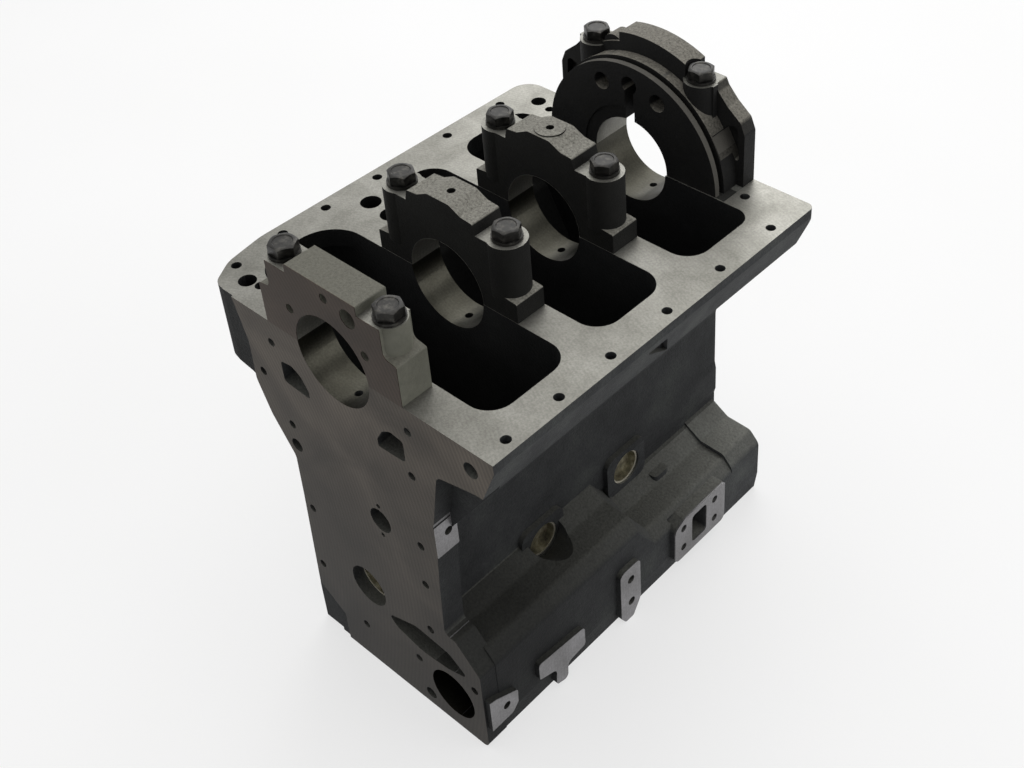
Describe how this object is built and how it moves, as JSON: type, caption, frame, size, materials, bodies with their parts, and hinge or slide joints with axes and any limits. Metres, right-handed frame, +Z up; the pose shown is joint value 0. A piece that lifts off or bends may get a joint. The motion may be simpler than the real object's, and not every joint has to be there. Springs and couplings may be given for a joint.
{
  "type": "engine block",
  "caption": "In-line engine block casting with open crankcase, bolted main bearing caps, a high camshaft chest and a machined timing face, standing on its head face.",
  "frame": {"origin": "where the middle cylinder's axis meets the head face", "axes": "+Z up, from the head face to the sump rail; +Y from the timing end to the flywheel end; +X towards the camshaft side"},
  "size_m": [0.306, 0.353, 0.4404],
  "materials": {
    "block_casting": "sand-cast charcoal grey with machined faces",
    "cap_casting": "rough sand-cast with machined faces",
    "black_bolt": "black oxide",
    "black_washer": "black oxide",
    "core_plug_metal": "pressed, dull brassy plating"
  },
  "bodies": {
    "root": {"cylinder_block": "block_casting", "front_main_cap": "cap_casting", "centre_front_main_cap": "cap_casting", "centre_rear_main_cap": "cap_casting", "rear_main_cap": "cap_casting", "front_left_cap_bolt": "black_bolt", "front_left_cap_washer": "black_washer", "front_right_cap_bolt": "black_bolt", "front_right_cap_washer": "black_washer", "centre_front_left_cap_bolt": "black_bolt", "centre_front_left_cap_washer": "black_washer", "centre_front_right_cap_bolt": "black_bolt", "centre_front_right_cap_washer": "black_washer", "centre_rear_left_cap_bolt": "black_bolt", "centre_rear_left_cap_washer": "black_washer", "centre_rear_right_cap_bolt": "black_bolt", "centre_rear_right_cap_washer": "black_washer", "rear_left_cap_bolt": "black_bolt", "rear_left_cap_washer": "black_washer", "rear_right_cap_bolt": "black_bolt", "rear_right_cap_washer": "black_washer", "right_front_core_plug": "core_plug_metal", "right_rear_core_plug": "core_plug_metal", "left_front_core_plug": "core_plug_metal", "left_rear_core_plug": "core_plug_metal", "timing_end_core_plug": "core_plug_metal"}
  },
  "joints": []
}
